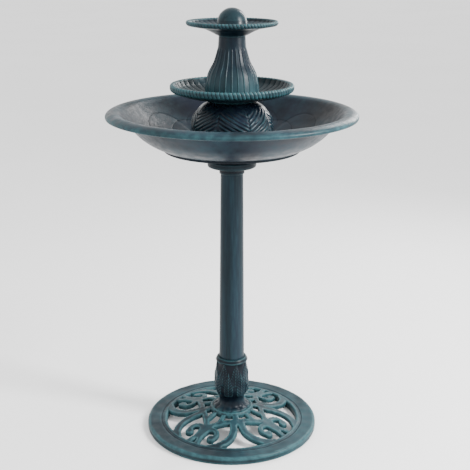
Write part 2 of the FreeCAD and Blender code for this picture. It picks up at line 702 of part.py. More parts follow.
housing_box = block("housing_box", "-pump_width / 2", "-pump_front", "pump_under", "pump_width",
                    "pump_length", "pump_height")
motor_room = block("motor_room", "-pump_width / 2 + pump_wall", "chamber_rear + pump_wall",
                   "pump_under + pump_wall", "pump_width - 2 * pump_wall",
                   "pump_rear - chamber_rear", "pump_height - 2 * pump_wall")
rotor_pot = rod("rotor_pot", "pot_radius + pot_wall", "0", "chamber_rear", "rotor_level",
                "pot_depth + pot_wall", REARWARD)
outlet_pipe = rod("outlet_pipe", "outlet_radius", "0", "0", "pump_top - 1", "outlet_height - 1")
housing = bored(
    "housing_bored",
    joined("housing_body", bored("housing_shell", housing_box, motor_room), rotor_pot, outlet_pipe),
    rod("chamber_bore", "chamber_radius", "0", "-pump_front", "rotor_level", "chamber_depth", REARWARD),
    rod("pot_bore", "pot_radius", "0", "0", "rotor_level", "pot_rear", REARWARD),
    rod("outlet_bore", "outlet_bore_radius", "0", "0", "rotor_level", "pump_height"))
keep(housing, "pump_housing")

keep(bored("stator_bored",
           block("stator_box", "-pump_width / 2 + pump_wall + fit_gap", "chamber_rear + pump_wall + 1",
                 "pump_under + pump_wall + fit_gap", "pump_width - 2 * (pump_wall + fit_gap)",
                 "pump_rear - chamber_rear - 2 * pump_wall - 1",
                 "pump_height - 2 * (pump_wall + fit_gap)"),
           rod("stator_bore", "pot_radius + pot_wall + fit_gap", "0", "0", "rotor_level",
               "pot_rear + pot_wall + 0.5", REARWARD)), "stator_block")

lid_level = "pump_rear - pump_wall"
keep(bored("motor_lid_bored",
           block("motor_lid_box", "-pump_width / 2 + pump_wall + fit_gap", lid_level,
                 "pump_under + pump_wall + fit_gap", "pump_width - 2 * (pump_wall + fit_gap)",
                 "pump_wall", "pump_height - 2 * (pump_wall + fit_gap)"),
           rod("motor_lid_hole", "cable_radius + 1 + fit_gap", "0", lid_level, "rotor_level",
               "pump_wall", REARWARD)), "motor_lid")

keep(bored("gland_bored",
           joined("gland_blank",
                  rod("gland_neck", "cable_radius + 1", "0", lid_level, "rotor_level",
                      "pump_wall", REARWARD),
                  rod("gland_cap", "gland_radius", "0", "pump_rear", "rotor_level",
                      "gland_length", REARWARD)),
           rod("gland_hole", "cable_radius", "0", lid_level, "rotor_level",
               "pump_wall + gland_length", REARWARD)), "cable_gland")

# rotor: a ring magnet with the impeller moulded on its front, running on a fixed ceramic shaft
shaft_front = "-pump_front + chamber_lid_depth"
magnet_front = "chamber_rear + 1"
impeller_front = f"{magnet_front} - impeller_disc - blade_depth"
keep(bored("magnet_bored",
           rod("magnet_body", "magnet_radius", "0", magnet_front, "rotor_level", "magnet_length",
               REARWARD),
           rod("magnet_bore", "shaft_radius + running_gap", "0", magnet_front, "rotor_level",
               "magnet_length", REARWARD)), "rotor_magnet")
blades = [rod("impeller_hub", "0.4 * impeller_radius", "0", impeller_front, "rotor_level",
              "blade_depth + 1", REARWARD),
          rod("impeller_disc_body", "0.68 * impeller_radius", "0",
              f"{magnet_front} - impeller_disc", "rotor_level", "impeller_disc", REARWARD)]
for index in range(3):
    blade = block(f"blade_{index}", "0", "0", "0", "2 * impeller_radius", "blade_depth + 1",
                  "blade_width")
    spin = Rotation(Vector(0, 1, 0), 60 * index)
    lean = f"{60 * index}"
    place(blade, f"-impeller_radius * cos({lean}) - blade_width / 2 * sin({lean})", impeller_front,
          f"rotor_level + impeller_radius * sin({lean}) - blade_width / 2 * cos({lean})", spin)
    blades.append(blade)
keep(bored("impeller_bored", joined("impeller_blank", *blades),
           rod("impeller_bore", "shaft_radius + running_gap", "0", impeller_front, "rotor_level",
               "blade_depth + impeller_disc", REARWARD)), "impeller")

keep(rod("impeller_shaft", "shaft_radius", "0", shaft_front, "rotor_level",
         f"pot_rear - ({shaft_front})", REARWARD), "impeller_shaft")


def bush(name, start):
    return bored(name, rod(name + "_body", "bush_radius", "0", start, "rotor_level", "bush_length",
                           REARWARD),
                 rod(name + "_hole", "shaft_radius + fit_gap / 3", "0", start, "rotor_level",
                     "bush_length", REARWARD))


keep(grouped("shaft_bushes", bush("front_bush", f"{impeller_front} - bush_length - 0.5"),
             bush("rear_bush", "pot_rear - bush_length")), "shaft_bushes")

lid_spokes = bored(
    "chamber_lid_bored",
    rod("chamber_lid_disc", "chamber_radius - fit_gap", "0", "-pump_front", "rotor_level",
        "chamber_lid_depth", REARWARD),
    rod("chamber_lid_inlet", "inlet_radius", "0", "-pump_front", "rotor_level",
        "chamber_lid_depth", REARWARD))
bridge = block("lid_bridge", "-inlet_radius - 1", "-pump_front", "rotor_level - 1.5",
               "2 * inlet_radius + 2", "chamber_lid_depth", "3")
keep(joined("chamber_lid_whole", lid_spokes, bridge), "chamber_lid")

# strainer: a slotted box that clips on the front of the housing, with the flow dial on its face
intake_front = "-pump_front - intake_depth"
intake_box = block("intake_box", "-pump_width / 2", intake_front, "pump_under", "pump_width",
                   "intake_depth", "pump_height")
intake_room = block("intake_room", "-pump_width / 2 + intake_wall", f"{intake_front} + intake_wall",
                    "pump_under + intake_wall", "pump_width - 2 * intake_wall", "intake_depth",
                    "pump_height - 2 * intake_wall")
intake_cuts = [intake_room, rod("dial_hole", "dial_pin_radius + running_gap", "0",
                                f"{intake_front} - 1", "rotor_level - dial_drop",
                                "intake_wall + 2", REARWARD)]
for index in range(int(value("intake_slot_count"))):
    offset = f"({index} - (intake_slot_count - 1) / 2) * 2.3 * intake_slot_width"
    intake_cuts.append(block(f"intake_slot_{index}", f"{offset} - intake_slot_width / 2",
                             f"{intake_front} - 1", "rotor_level + 2", "intake_slot_width",
                             "intake_wall + 2", "pump_height / 2 - 6"))
keep(bored("intake_bored", intake_box, *intake_cuts), "intake_cover")

dial_level = "rotor_level - dial_drop"
dial_face = f"{intake_front} - dial_depth - free_gap"
keep(joined(
    "dial_whole",
    rod("dial_disc", "dial_radius", "0", dial_face, dial_level, "dial_depth", REARWARD),
    rod("dial_pin", "dial_pin_radius", "0", f"{dial_face} + dial_depth - 1", dial_level,
        "intake_wall + free_gap + 3", REARWARD),
    rod("dial_keeper", "dial_pin_radius + 1.5", "0", f"{intake_front} + intake_wall + free_gap",
        dial_level, "1.5", REARWARD),
    block("dial_grip", "-1.25", f"{dial_face} - 2.5", f"{dial_level} - dial_radius + 1.5", "2.5",
          "3", "2 * dial_radius - 3")), "flow_dial")

feet = []
for index, (across, along) in enumerate(((-1, 0), (1, 0), (-1, 1), (1, 1))):
    x = f"{across} * (pump_width / 2 - foot_radius - 1)"
    y = f"-pump_front + foot_radius + 1 + {along} * (pump_length - 2 * foot_radius - 2)"
    cup = doc.addObject("Part::Cone", f"foot_cup_{index}")
    cup.setExpression("Radius1", bound("foot_radius"))
    cup.setExpression("Radius2", bound("foot_stem_radius"))
    cup.setExpression("Height", bound("foot_height - foot_stem"))
    place(cup, x, y, "basin_floor")
    stem = rod(f"foot_stem_{index}", "foot_stem_radius", x, y, "basin_floor + foot_height - foot_stem",
               "foot_stem")
    feet.append(joined(f"foot_{index}", cup, stem))
keep(grouped("suction_feet", *feet), "suction_feet")

# ---- Check every object and write the pieces ------------------------------------------------

doc.recompute()
faults = [item.Name for item in doc.Objects if "Invalid" in item.State or "Error" in item.State]
for piece in PIECES:
    if piece.Shape.isNull() or not piece.Shape.isValid() or not piece.Shape.Solids:
        faults.append(piece.Label)
if faults:
    raise RuntimeError("these objects failed: " + ", ".join(faults))

os.makedirs("parts", exist_ok=True)
for piece in PIECES:
    shape = piece.Shape
    shape.exportStep(os.path.join("parts", piece.Label + ".step"))
    print(f"{piece.Label:16s} solids {len(shape.Solids)}  volume {shape.Volume / 1000:9.2f} cm3  "
          f"z {shape.BoundBox.ZMin:7.1f} to {shape.BoundBox.ZMax:7.1f}")
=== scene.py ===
import json
import math

import bmesh
import bpy
import numpy as np
from mathutils import Matrix, Vector


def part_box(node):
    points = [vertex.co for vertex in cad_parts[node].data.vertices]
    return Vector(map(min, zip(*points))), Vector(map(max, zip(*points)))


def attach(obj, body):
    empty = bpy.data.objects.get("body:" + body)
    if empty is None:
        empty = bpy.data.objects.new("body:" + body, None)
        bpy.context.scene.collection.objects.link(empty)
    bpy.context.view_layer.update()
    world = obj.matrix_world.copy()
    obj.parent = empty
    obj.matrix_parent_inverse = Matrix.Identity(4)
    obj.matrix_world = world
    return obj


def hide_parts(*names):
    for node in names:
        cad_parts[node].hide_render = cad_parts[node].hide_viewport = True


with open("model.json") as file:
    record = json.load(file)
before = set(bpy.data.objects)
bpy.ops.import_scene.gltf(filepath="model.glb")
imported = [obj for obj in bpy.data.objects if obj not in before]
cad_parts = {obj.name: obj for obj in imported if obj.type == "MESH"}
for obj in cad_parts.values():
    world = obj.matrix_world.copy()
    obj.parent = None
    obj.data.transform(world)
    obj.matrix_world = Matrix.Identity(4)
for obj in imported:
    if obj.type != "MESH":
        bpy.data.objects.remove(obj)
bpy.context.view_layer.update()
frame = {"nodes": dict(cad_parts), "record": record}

# ---- Camera -----------------------------------------------------------------------------------
# The fountain is seen from the front, from a little above its top bowl, so the bowls show their
# insides and the base its openwork.
camera_data = bpy.data.cameras.new("camera")
camera_data.sensor_width = 36.0
camera_data.lens = 72.4
camera = bpy.data.objects.new("camera", camera_data)
looks_down = math.radians(17.17)
leans = math.radians(-0.13)
camera.location = (0.0065, -2.3195, 1.251)
camera.rotation_euler = (math.pi / 2 - looks_down, leans, 0.0)
bpy.context.scene.collection.objects.link(camera)
bpy.context.scene.camera = camera


# ---- Post -------------------------------------------------------------------------------------
# A hollow tapered post, moulded in plastic and painted. It stands in the collar and carries the
# post head; its paint was brushed on upright, so faint streaks run along it.
class Value:
    """A shader value. Arithmetic on it adds Math nodes to the material."""

    def __init__(self, tree, socket):
        self.tree = tree
        self.socket = socket

    def made(self, kind, settings=(), output=0, **sockets):
        """A new node of that type: its settings, then its sockets by name or by number (in_0)."""
        node = self.tree.nodes.new(kind)
        for key, setting in dict(settings).items():
            if key == "stops":
                ramp = node.color_ramp
                while len(ramp.elements) < len(setting):
                    ramp.elements.new(0.5)
                for element, (place, level) in zip(ramp.elements, setting):
                    element.position = place
                    element.color = (*level, 1.0) if isinstance(level, tuple) else (level,) * 3 + (1.0,)
            else:
                setattr(node, key, setting)
        for key, given in sockets.items():
            name = int(key[3:]) if key.startswith("in_") else key.replace("_", " ")
            target = node.inputs[name]
            if isinstance(given, Value):
                self.tree.links.new(given.socket, target)
            else:
                target.default_value = given
        return Value(self.tree, node.outputs[output])

    def math(self, operation, other=None, swapped=False):
        pair = (other, self) if swapped else (self, other)
        sockets = {f"in_{place}": item for place, item in enumerate(pair) if item is not None}
        return self.made("ShaderNodeMath", {"operation": operation}, **sockets)

    def __add__(self, other):
        return self.math("ADD", other)

    __radd__ = __add__

    def __sub__(self, other):
        return self.math("SUBTRACT", other)

    def __rsub__(self, other):
        return self.math("SUBTRACT", other, swapped=True)

    def __mul__(self, other):
        return self.math("MULTIPLY", other)

    __rmul__ = __mul__

    def clamped(self):
        return self.made("ShaderNodeClamp", in_0=self)

    def between(self, low, high):
        """Nought below low, one above high and smooth between."""
        return self.made("ShaderNodeMapRange", {"interpolation_type": "SMOOTHSTEP"}, in_0=self,
                         in_1=low, in_2=high)

    def blended(self, first, second):
        """The first colour where this value is nought, the second where it is one."""
        return self.made("ShaderNodeMix", {"data_type": "RGBA"}, output=2, in_0=self, in_6=first,
                         in_7=second)

    def speckle(self, scale, detail=3.0, stretch=(1.0, 1.0, 1.0), rough=0.5):
        """Noise laid out in the object's own metres; stretch below one draws it out that way."""
        place = self.made("ShaderNodeTexCoord", output=3)
        spot = self.made("ShaderNodeMapping", Vector=place, Scale=stretch)
        return self.made("ShaderNodeTexNoise", Vector=spot, Scale=scale, Detail=detail,
                         Roughness=rough)


def new_material(name, roughness, metallic=0.0, coat=0.0):
    """An empty material, its principled shader and a starting value for its tree."""
    material = bpy.data.materials.new(name)
    material.use_nodes = True
    shader = material.node_tree.nodes["Principled BSDF"]
    shader.inputs["Roughness"].default_value = roughness
    shader.inputs["Metallic"].default_value = metallic
    shader.inputs["Coat Weight"].default_value = coat
    shader.inputs["Coat Roughness"].default_value = 0.25
    return material, shader, Value(material.node_tree, None)


def feed(shader, socket, value):
    value.tree.links.new(value.socket, shader.inputs[socket])


PAINT_DEEP = (0.0009, 0.0026, 0.0058, 1.0)
PAINT_BODY = (0.0034, 0.0086, 0.0165, 1.0)
PAINT_PLUM = (0.0085, 0.011, 0.022, 1.0)
PAINT_VERDIGRIS = (0.024, 0.068, 0.078, 1.0)


def verdigris(name, brushed=1.0, streak=(1.0, 1.0, 1.0), body=PAINT_BODY, plum=0.5, gloss=0.36,
              wash=0.0, wash_from=0.0, wash_to=9.0):
    """Dark slate-green paint with a lighter green dragged over what stands proud.

    The mesh's "proud" attribute says how far each point stands out: half is level, one is an edge or
    ridge, nought is a hollow. The hollows get painted shade, darkened nearly to black.
    edge or ridge, nought is a hollow. The wash is a thin layer of the lighter green that fades
    out with height, from the first height to the second.
    """
    material, shader, start = new_material(name, gloss)
    shader.inputs["IOR"].default_value = 1.22
    proud = start.made("ShaderNodeAttribute", {"attribute_name": "proud"}, output=2)
    clouds = start.speckle(7.0, 4.0, streak, 0.55).between(0.36, 0.66)
    drifts = start.speckle(4.2, 3.0, streak, 0.5).between(0.50, 0.72)
    drag = start.speckle(60.0, 4.0, streak, 0.6).between(0.30, 0.72)
    hollow = proud.between(0.46, 0.18)
    ridge = proud.between(0.52, 0.86)
    colour = clouds.blended(PAINT_DEEP, body)
    colour = (drifts * plum).blended(colour, PAINT_PLUM)
    level = clouds * drag * (0.30 * brushed)
    ridge_paint = ridge * (drag * 0.55 + 0.45) * (0.85 * brushed)
    spot = start.made("ShaderNodeTexCoord", output=3)
    height = start.made("ShaderNodeSeparateXYZ", output=2, Vector=spot)
    thin = height.between(wash_to, wash_from) * (clouds * 0.5 + 0.5) * wash
    colour = (level + ridge_paint + thin).clamped().blended(colour, PAINT_VERDIGRIS)
    # Painted shade: the hollows, where shade falls, are darkened nearly to black.
    colour = (hollow * 0.75).blended(colour, (0.002, 0.004, 0.007, 1.0))
    feed(shader, "Base Color", colour)
    feed(shader, "Roughness", drag * 0.16 + hollow * 0.18 + (gloss - 0.04))
    grain = start.speckle(420.0, 2.0) * 0.6 + start.speckle(90.0, 3.0) * 0.4
    bump = start.made("ShaderNodeBump", Height=grain, Strength=0.10, Distance=0.0006)
    feed(shader, "Normal", bump)
    return material


def smooth_line(points, pitch):
    """Points along a smooth curve through the given ones, about pitch apart."""
    if len(points) == 2:
        count = max(1, round(math.dist(*points) / pitch))
        return [tuple(np.array(points[0]) + (np.array(points[1]) - np.array(points[0])) * step / count)
                for step in range(count)] + [tuple(points[1])]
    spots = [np.array(point, float) for point in points]
    spots = [2 * spots[0] - spots[1]] + spots + [2 * spots[-1] - spots[-2]]
    line = []
    for before, start, stop, after in zip(spots, spots[1:], spots[2:], spots[3:]):
        count = max(1, round(np.linalg.norm(stop - start) / pitch))
        for step in range(count):
            t = step / count
            line.append(tuple(0.5 * (2 * start + (stop - before) * t
                              + (2 * before - 5 * start + 4 * stop - after) * t ** 2
                              + (3 * start - before - 3 * stop + after) * t ** 3)))
    line.append(tuple(spots[-2]))
    return line


def points_of(mesh, field):
    """A row of three numbers for each point: its place with "co", or its "normal"."""
    numbers = np.empty(len(mesh.vertices) * 3)
    mesh.vertices.foreach_get(field, numbers)
    return numbers.reshape(-1, 3)


def mark_proud(mesh, reach, passes=2):
    """Writes the "proud" attribute from how far each point stands out of its surroundings."""
    places = points_of(mesh, "co")
    normals = points_of(mesh, "normal")
    count = len(places)
    ends = np.empty(len(mesh.edges) * 2, dtype=np.int64)
    mesh.edges.foreach_get("vertices", ends)
    first, second = ends.reshape(-1, 2).T
    joined = np.maximum(np.bincount(first, minlength=count) + np.bincount(second, minlength=count), 1)

    def averaged(field):
        total = np.zeros_like(field)
        np.add.at(total, first, field[second])
        np.add.at(total, second, field[first])
        return total / (joined[:, None] if field.ndim == 2 else joined)

    around = places.copy()
    for _ in range(passes):
        around = 0.5 * around + 0.5 * averaged(around)
    height = np.einsum("ij,ij->i", places - around, normals)
    for _ in range(2):
        height = 0.5 * height + 0.5 * averaged(height)
    level = np.clip(0.5 + 0.5 * height / reach, 0.0, 1.0)
    attribute = mesh.attributes.new("proud", "FLOAT", "POINT")
    attribute.data.foreach_set("value", level.astype(np.float32))


def finished(name, mesh, body, node, material, reach=0.00012, passes=3, unpainted_below=0.0):
    """Puts a mesh into the scene as the piece that stands for a CAD node.

    Below the given height it gets painted shade: it counts as a deep hollow, which the lighter green
    misses, and is darkened nearly to black.
    """
    painted_shade_level = 0.1
    mesh.shade_smooth()
    mark_proud(mesh, reach, passes)
    # Painted shade: points below that height are made to read as a deep hollow, so they are darkened nearly
    # to black.
    for vertex, level in zip(mesh.vertices, mesh.attributes["proud"].data):
        if vertex.co.z < unpainted_below:
            level.value = painted_shade_level
    piece = bpy.data.objects.new(name, mesh)
    bpy.context.scene.collection.objects.link(piece)
    mesh.materials.append(material)
    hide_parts(node)
    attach(piece, body)
    return piece


def turned(name, stretches, steps, relief=None, pitch=0.0025):
    """Mesh turned about the upright axis from smooth stretches of (radius, height).

    The stretches run counterclockwise round the wall, so its outside is on their right. relief
    takes radius, height, angle and the stretch's number and gives how far the skin stands out.
    """
    line, zones = [], []
    for zone, stretch in enumerate(stretches):
        run = smooth_line(stretch, pitch)
        line += run[:-1]
        zones += [zone] * (len(run) - 1)
    closed = math.dist(stretches[0][0], stretches[-1][-1]) < 1e-7
    if not closed:
        line.append(stretches[-1][-1])
        zones.append(len(stretches) - 1)
    line = np.array(line, float)
    zones = np.array(zones)
    if closed:
        along = np.roll(line, -1, axis=0) - np.roll(line, 1, axis=0)
    else:
        along = np.gradient(line, axis=0)
    along /= np.maximum(np.linalg.norm(along, axis=1, keepdims=True), 1e-12)
    outward = np.stack([along[:, 1], -along[:, 0]], axis=1)
    angle = np.arange(steps) * (2 * math.pi / steps)
    shift = np.zeros((len(line), steps))
    if relief is not None:
        shift = relief(*np.broadcast_arrays(line[:, :1], line[:, 1:], angle[None, :], zones[:, None]))
    radius = np.maximum(line[:, :1] + outward[:, :1] * shift, 0.0)
    height = line[:, 1:] + outward[:, 1:] * shift
    places = np.stack([radius * np.cos(angle), radius * np.sin(angle), height], axis=2)
    rows = len(line)
    spans = rows if closed else rows - 1
    row, column = np.meshgrid(np.arange(spans), np.arange(steps), indexing="ij")
    below, beside = (row + 1) % rows, (column + 1) % steps
    faces = np.stack([row * steps + column, row * steps + beside, below * steps + beside,
                      below * steps + column], axis=2).reshape(-1, 4)
    mesh = bpy.data.meshes.new(name)
    mesh.from_pydata(places.reshape(-1, 3).tolist(), [], faces.tolist())
    if not closed:
        welded = bmesh.new()
        welded.from_mesh(mesh)
        bmesh.ops.remove_doubles(welded, verts=welded.verts, dist=1e-6)
        bmesh.ops.dissolve_degenerate(welded, edges=welded.edges, dist=1e-7)
        welded.to_mesh(mesh)
        welded.free()
    mesh.update()
    return mesh


post_low, post_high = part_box("post")
post_foot = post_high.x
post_top = 0.0285
post_wall = 0.003
post_mesh = turned("post_skin", [
    [(post_foot, post_low.z), (post_top, post_high.z)],
    [(post_top, post_high.z), (post_top - post_wall, post_high.z)],
    [(post_top - post_wall, post_high.z), (post_foot - post_wall, post_low.z)],
    [(post_foot - post_wall, post_low.z), (post_foot, post_low.z)],
], 96, pitch=0.006)
post_paint = verdigris("post_paint", brushed=0.3, streak=(5.0, 5.0, 0.35), plum=0.45)
finished("post_skin", post_mesh, "stand", "post", post_paint)


# ---- Post head --------------------------------------------------------------------------------
# The flange that the basin sits and locks on, with a neck that slips over the post. One
# moulding; its parting line shows as a fine fin down the front.
head_low, head_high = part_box("post_head")
flange_radius = head_high.x
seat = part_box("basin")[0].z
neck_radius = post_top + 0.0033
neck_bore = neck_radius - 0.003
spigot = 0.040
spigot_bore = 0.035
rod_bore = 0.00415
spigot_floor = seat - 0.010
neck_roof = seat - 0.016
parting_fin = 0.0007


def fin(radius, height, angle, zone):
    line = np.cos(angle + math.pi / 2)
    return np.where(zone < 3, parting_fin * np.exp(-((1 - line) / 0.00012)), 0.0)


head_mesh = turned("post_head_skin", [
    [(neck_radius - 0.001, head_low.z), (neck_radius, head_low.z + 0.0012),
     (neck_radius, head_low.z + 0.009), (neck_radius + 0.003, head_low.z + 0.0132),
     (neck_radius + 0.012, head_low.z + 0.0160), (flange_radius - 0.004, head_low.z + 0.0172)],
    [(flange_radius - 0.004, head_low.z + 0.0172), (flange_radius - 0.001, head_low.z + 0.0186),
     (flange_radius, head_low.z + 0.0210)],
    [(flange_radius, head_low.z + 0.0210), (flange_radius, seat - 0.0015),
     (flange_radius - 0.0015, seat)],
    [(flange_radius - 0.0015, seat), (spigot, seat)],
    [(spigot, seat), (spigot, head_high.z)],
    [(spigot, head_high.z), (spigot_bore, head_high.z)],
    [(spigot_bore, head_high.z), (spigot_bore, spigot_floor)],
    [(spigot_bore, spigot_floor), (rod_bore, spigot_floor)],
    [(rod_bore, spigot_floor), (rod_bore, neck_roof)],
    [(rod_bore, neck_roof), (neck_bore, neck_roof)],
    [(neck_bore, neck_roof), (neck_bore, head_low.z)],
    [(neck_bore, head_low.z), (neck_radius - 0.001, head_low.z)],
], 256, fin, pitch=0.002)
head_paint = verdigris("head_paint", brushed=0.2, plum=0.3, body=(0.002, 0.005, 0.009, 1.0))
finished("post_head_skin", head_mesh, "stand", "post_head", head_paint)


# ---- Collar -----------------------------------------------------------------------------------
# A flared foot and a belly that grips the post, moulded with two tiers of leaves. Smooth spear
# panels show between the lower leaves, and a beaded lip closes the top.
collar_low, collar_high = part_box("collar")
collar_foot = collar_low.z
foot_radius = 0.049
bore = 0.027
socket = 0.03355
socket_floor = collar_high.z - 0.022
bore_roof = collar_high.z - 0.028
collar_rod_bore = 0.0045


def rounded(x):
    """Smooth step from nought to one over the unit range."""
    x = np.clip(x, 0.0, 1.0)
    return x * x * (3 - 2 * x)


def leaves(angle, height, count, turn, low, high, lean=0.0):
    """How far inside a leaf each point is, and how near its midrib. Leaves stand low to high."""
    up = (height - low) / (high - low)
    across = ((angle - turn - lean * up) * count / (2 * math.pi)) % 1.0 * 2 - 1
    width = 0.96 * np.sqrt(np.clip(1 - up, 0, 1)) * (0.72 + 0.28 * np.sin(np.clip(up, 0, 1) * math.pi * 1.3))
    inside = rounded((width - np.abs(across)) / 0.16) * rounded(up / 0.05)
    rib = np.exp(-(across / 0.07) ** 2) * inside
    veins = 0.5 + 0.5 * np.sin((up * 9 - np.abs(across) * 2.2) * 2 * math.pi)
    return inside, rib, veins * inside


def collar_relief(radius, height, angle, zone):
    outside = zone <= 1
    low, low_rib, low_veins = leaves(angle, height, 8, 0.2, collar_foot + 0.040, collar_foot + 0.112)
    high, high_rib, high_veins = leaves(angle, height, 8, 0.2 + math.pi / 8, collar_foot + 0.070,
                                        collar_foot + 0.144, 0.12)
    swirl = 0.0009 * np.sin(angle * 5 + height * 130) * rounded((height - collar_foot - 0.02) / 0.03)
    foot_lobes = 0.0016 * np.abs(np.sin(angle * 6)) * rounded((collar_foot + 0.024 - height) / 0.014)
    skin = (0.0024 * low + 0.0011 * low_rib - 0.0007 * low_veins
            + (1 - low) * (0.0018 * high + 0.0009 * high_rib - 0.0005 * high_veins) + swirl + foot_lobes)
    return np.where(outside, skin - 0.0014, 0.0)


collar_mesh = turned("collar_skin", [
    [(bore, collar_foot), (foot_radius, collar_foot)],
    [(foot_radius, collar_foot), (0.0487, collar_foot + 0.0025), (0.0450, collar_foot + 0.0055),
     (0.0390, collar_foot + 0.0085), (0.0358, collar_foot + 0.0130), (0.0347, collar_foot + 0.021),
     (0.0352, collar_foot + 0.029), (0.0385, collar_foot + 0.036), (0.0422, collar_foot + 0.045),
     (0.0445, collar_foot + 0.058), (0.0452, collar_foot + 0.074), (0.0444, collar_foot + 0.092),
     (0.0420, collar_foot + 0.111), (0.0412, collar_foot + 0.126), (0.0418, collar_foot + 0.134)],
    [(0.0418, collar_foot + 0.134), (0.0424, collar_foot + 0.137), (0.0410, collar_foot + 0.1395)],
    [(0.0410, collar_foot + 0.1395), (0.0398, collar_foot + 0.1425), (0.0380, collar_high.z)],
    [(0.0380, collar_high.z), (socket, collar_high.z)],
    [(socket, collar_high.z), (socket, socket_floor)],
    [(socket, socket_floor), (collar_rod_bore, socket_floor)],
    [(collar_rod_bore, socket_floor), (collar_rod_bore, bore_roof)],
    [(collar_rod_bore, bore_roof), (bore, bore_roof)],
    [(bore, bore_roof), (bore, collar_foot)],
], 420, collar_relief, pitch=0.0011)
collar_paint = verdigris("collar_paint", brushed=0.95, body=(0.004, 0.010, 0.018, 1.0))
finished("collar_skin", collar_mesh, "stand", "collar", collar_paint, reach=0.0002)


# ---- Base -------------------------------------------------------------------------------------
# One casting: a ring on the ground, ribs curling up to a square frame, scroll motifs and a
# windowed hub. Its edges are soft, as such castings are, so the paint dragged over them shows.
base_object = frame["nodes"]["base"]
base_copy = bpy.data.objects.new("base_form", base_object.data.copy())
base_copy.matrix_world = base_object.matrix_world.copy()
bpy.context.scene.collection.objects.link(base_copy)


def window(low, high, hub_edge=0.0575, frame_edge=0.0705):
    """Outline of one window between hub and square frame, from one angle in degrees to another."""
    spots = [(math.cos(math.radians(angle)), math.sin(math.radians(angle)))
             for angle in (low, (low + high) / 2, high)]
    hub_side = [(hub_edge * x, hub_edge * y) for x, y in spots]
    frame_side = [(x * frame_edge / max(x, y), y * frame_edge / max(x, y)) for x, y in spots]
    return hub_side + frame_side[::-1]


frame_turn = math.radians(10)
window_floor, window_roof = 0.02, 0.08
window_shapes = bmesh.new()
for quarter in range(4):
    turn = Matrix.Rotation(frame_turn + quarter * math.pi / 2, 4, "Z")
    for low, high in ((7, 27), (36, 54), (63, 83)):
        outline = window(low, high)
        layers = [[window_shapes.verts.new(turn @ Vector((x, y, z))) for x, y in outline]
                  for z in (window_floor, window_roof)]
        for layer in layers:
            window_shapes.faces.new(layer)
        for side in range(len(outline)):
            window_shapes.faces.new((layers[0][side - 1], layers[0][side], layers[1][side],
                                     layers[1][side - 1]))
bmesh.ops.recalc_face_normals(window_shapes, faces=window_shapes.faces)
window_mesh = bpy.data.meshes.new("windows")
window_shapes.to_mesh(window_mesh)
window_shapes.free()
windows = bpy.data.objects.new("windows", window_mesh)
bpy.context.scene.collection.objects.link(windows)
cut = base_copy.modifiers.new("windows", "BOOLEAN")
cut.operation = "DIFFERENCE"
cut.object = windows
remesh = base_copy.modifiers.new("even", "REMESH")
remesh.mode = "VOXEL"
remesh.voxel_size = 0.0018
soften = base_copy.modifiers.new("soften", "SMOOTH")
soften.factor = 0.5
soften.iterations = 5
depsgraph = bpy.context.evaluated_depsgraph_get()
base_mesh = bpy.data.meshes.new_from_object(base_copy.evaluated_get(depsgraph))
for used in (base_copy, windows):
    bpy.data.objects.remove(used)
base_mesh.materials.clear()
base_low, base_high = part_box("base")
groove_radius = base_high.x - 0.0365
bead_radius = 0.0535
hub_top = base_high.z - 0.022
swelling = 0.0009
places = points_of(base_mesh, "co")
normals = points_of(base_mesh, "normal")
reach_out = np.hypot(places[:, 0], places[:, 1])
around = np.arctan2(places[:, 1], places[:, 0])
upward = np.clip(normals[:, 2], 0, 1)
groove = np.exp(-((reach_out - groove_radius) / 0.0012) ** 2)
bead = np.exp(-((reach_out - bead_radius) / 0.0022) ** 2) * (places[:, 2] > hub_top)
dents = 0.0004 * np.sin(around * 9 + reach_out * 140) * np.sin(around * 23 - reach_out * 90)
skin = swelling + (-0.0012 * groove + 0.0016 * bead + dents) * upward
places += normals * skin[:, None]
places[:, 2] = np.maximum(places[:, 2], base_low.z)
base_mesh.vertices.foreach_set("co", places.ravel())
base_mesh.update()
base_paint = verdigris("base_paint", brushed=0.95, body=(0.006, 0.018, 0.026, 1.0), plum=0.3,
                       gloss=0.40, wash=0.22)
finished("base_skin", base_mesh, "stand", "base", base_paint, reach=0.00030, passes=5)


# ---- Basin ------------------------------------------------------------------------------------
# The wide bowl. A ring under it hides the post head, its rim rolls over and hangs down, and two
# rows of overlapping petals are embossed inside. It locks on the post head by three lugs.
basin_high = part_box("basin")[1]
rim = basin_high.x
crest = basin_high.z
lip_low = crest - 0.0155
under = seat + 0.032
floor_level = under + 0.003
head_bore = 0.04006
boss = 0.056
lug_room = 0.0454
lug_roof = seat + 0.0096
ring_foot = 0.1716
locating_inner, locating_outer = 0.0716, 0.0766
locating_top = floor_level + 0.006
INNER_WALL = 13


def petal_lines(radius, angle, count, turn, root, tip, share):
    """Ridge along the outlines of a ring of petals, and how far inside one each point is."""
    radius = np.maximum(radius, 0.001)
    across = ((angle - turn) * count / (2 * math.pi) + 0.5) % 1.0 * 2 - 1
    edge = root + (tip - root) * np.sqrt(np.clip(1 - (across / share) ** 2, 0.0, 1.0))
    slope = (tip - root) / share ** 2 * np.abs(across) / np.maximum(np.sqrt(np.clip(
        1 - (across / share) ** 2, 0.02, 1.0)), 1e-6) * count / math.pi / radius
    gap = (radius - edge) / np.sqrt(1 + slope ** 2)
    return np.exp(-(gap / 0.0020) ** 2), rounded(-gap / 0.016)


def basin_relief(radius, height, angle, zone):
    far_line, far_inside = petal_lines(radius, angle, 10, 0.0, 0.190, 0.250, 1.0)
    near_line, near_inside = petal_lines(radius, angle, 10, math.pi / 10, 0.165, 0.226, 1.0)
    inner = -0.0005 * far_line * (1 - near_inside) + 0.0010 * far_inside
    inner = inner - 0.0005 * near_line + 0.0010 * near_inside
    fade = rounded((radius - 0.160) / 0.02) * rounded((0.262 - radius) / 0.008)
    return np.where(zone == INNER_WALL, inner * fade, 0.0)


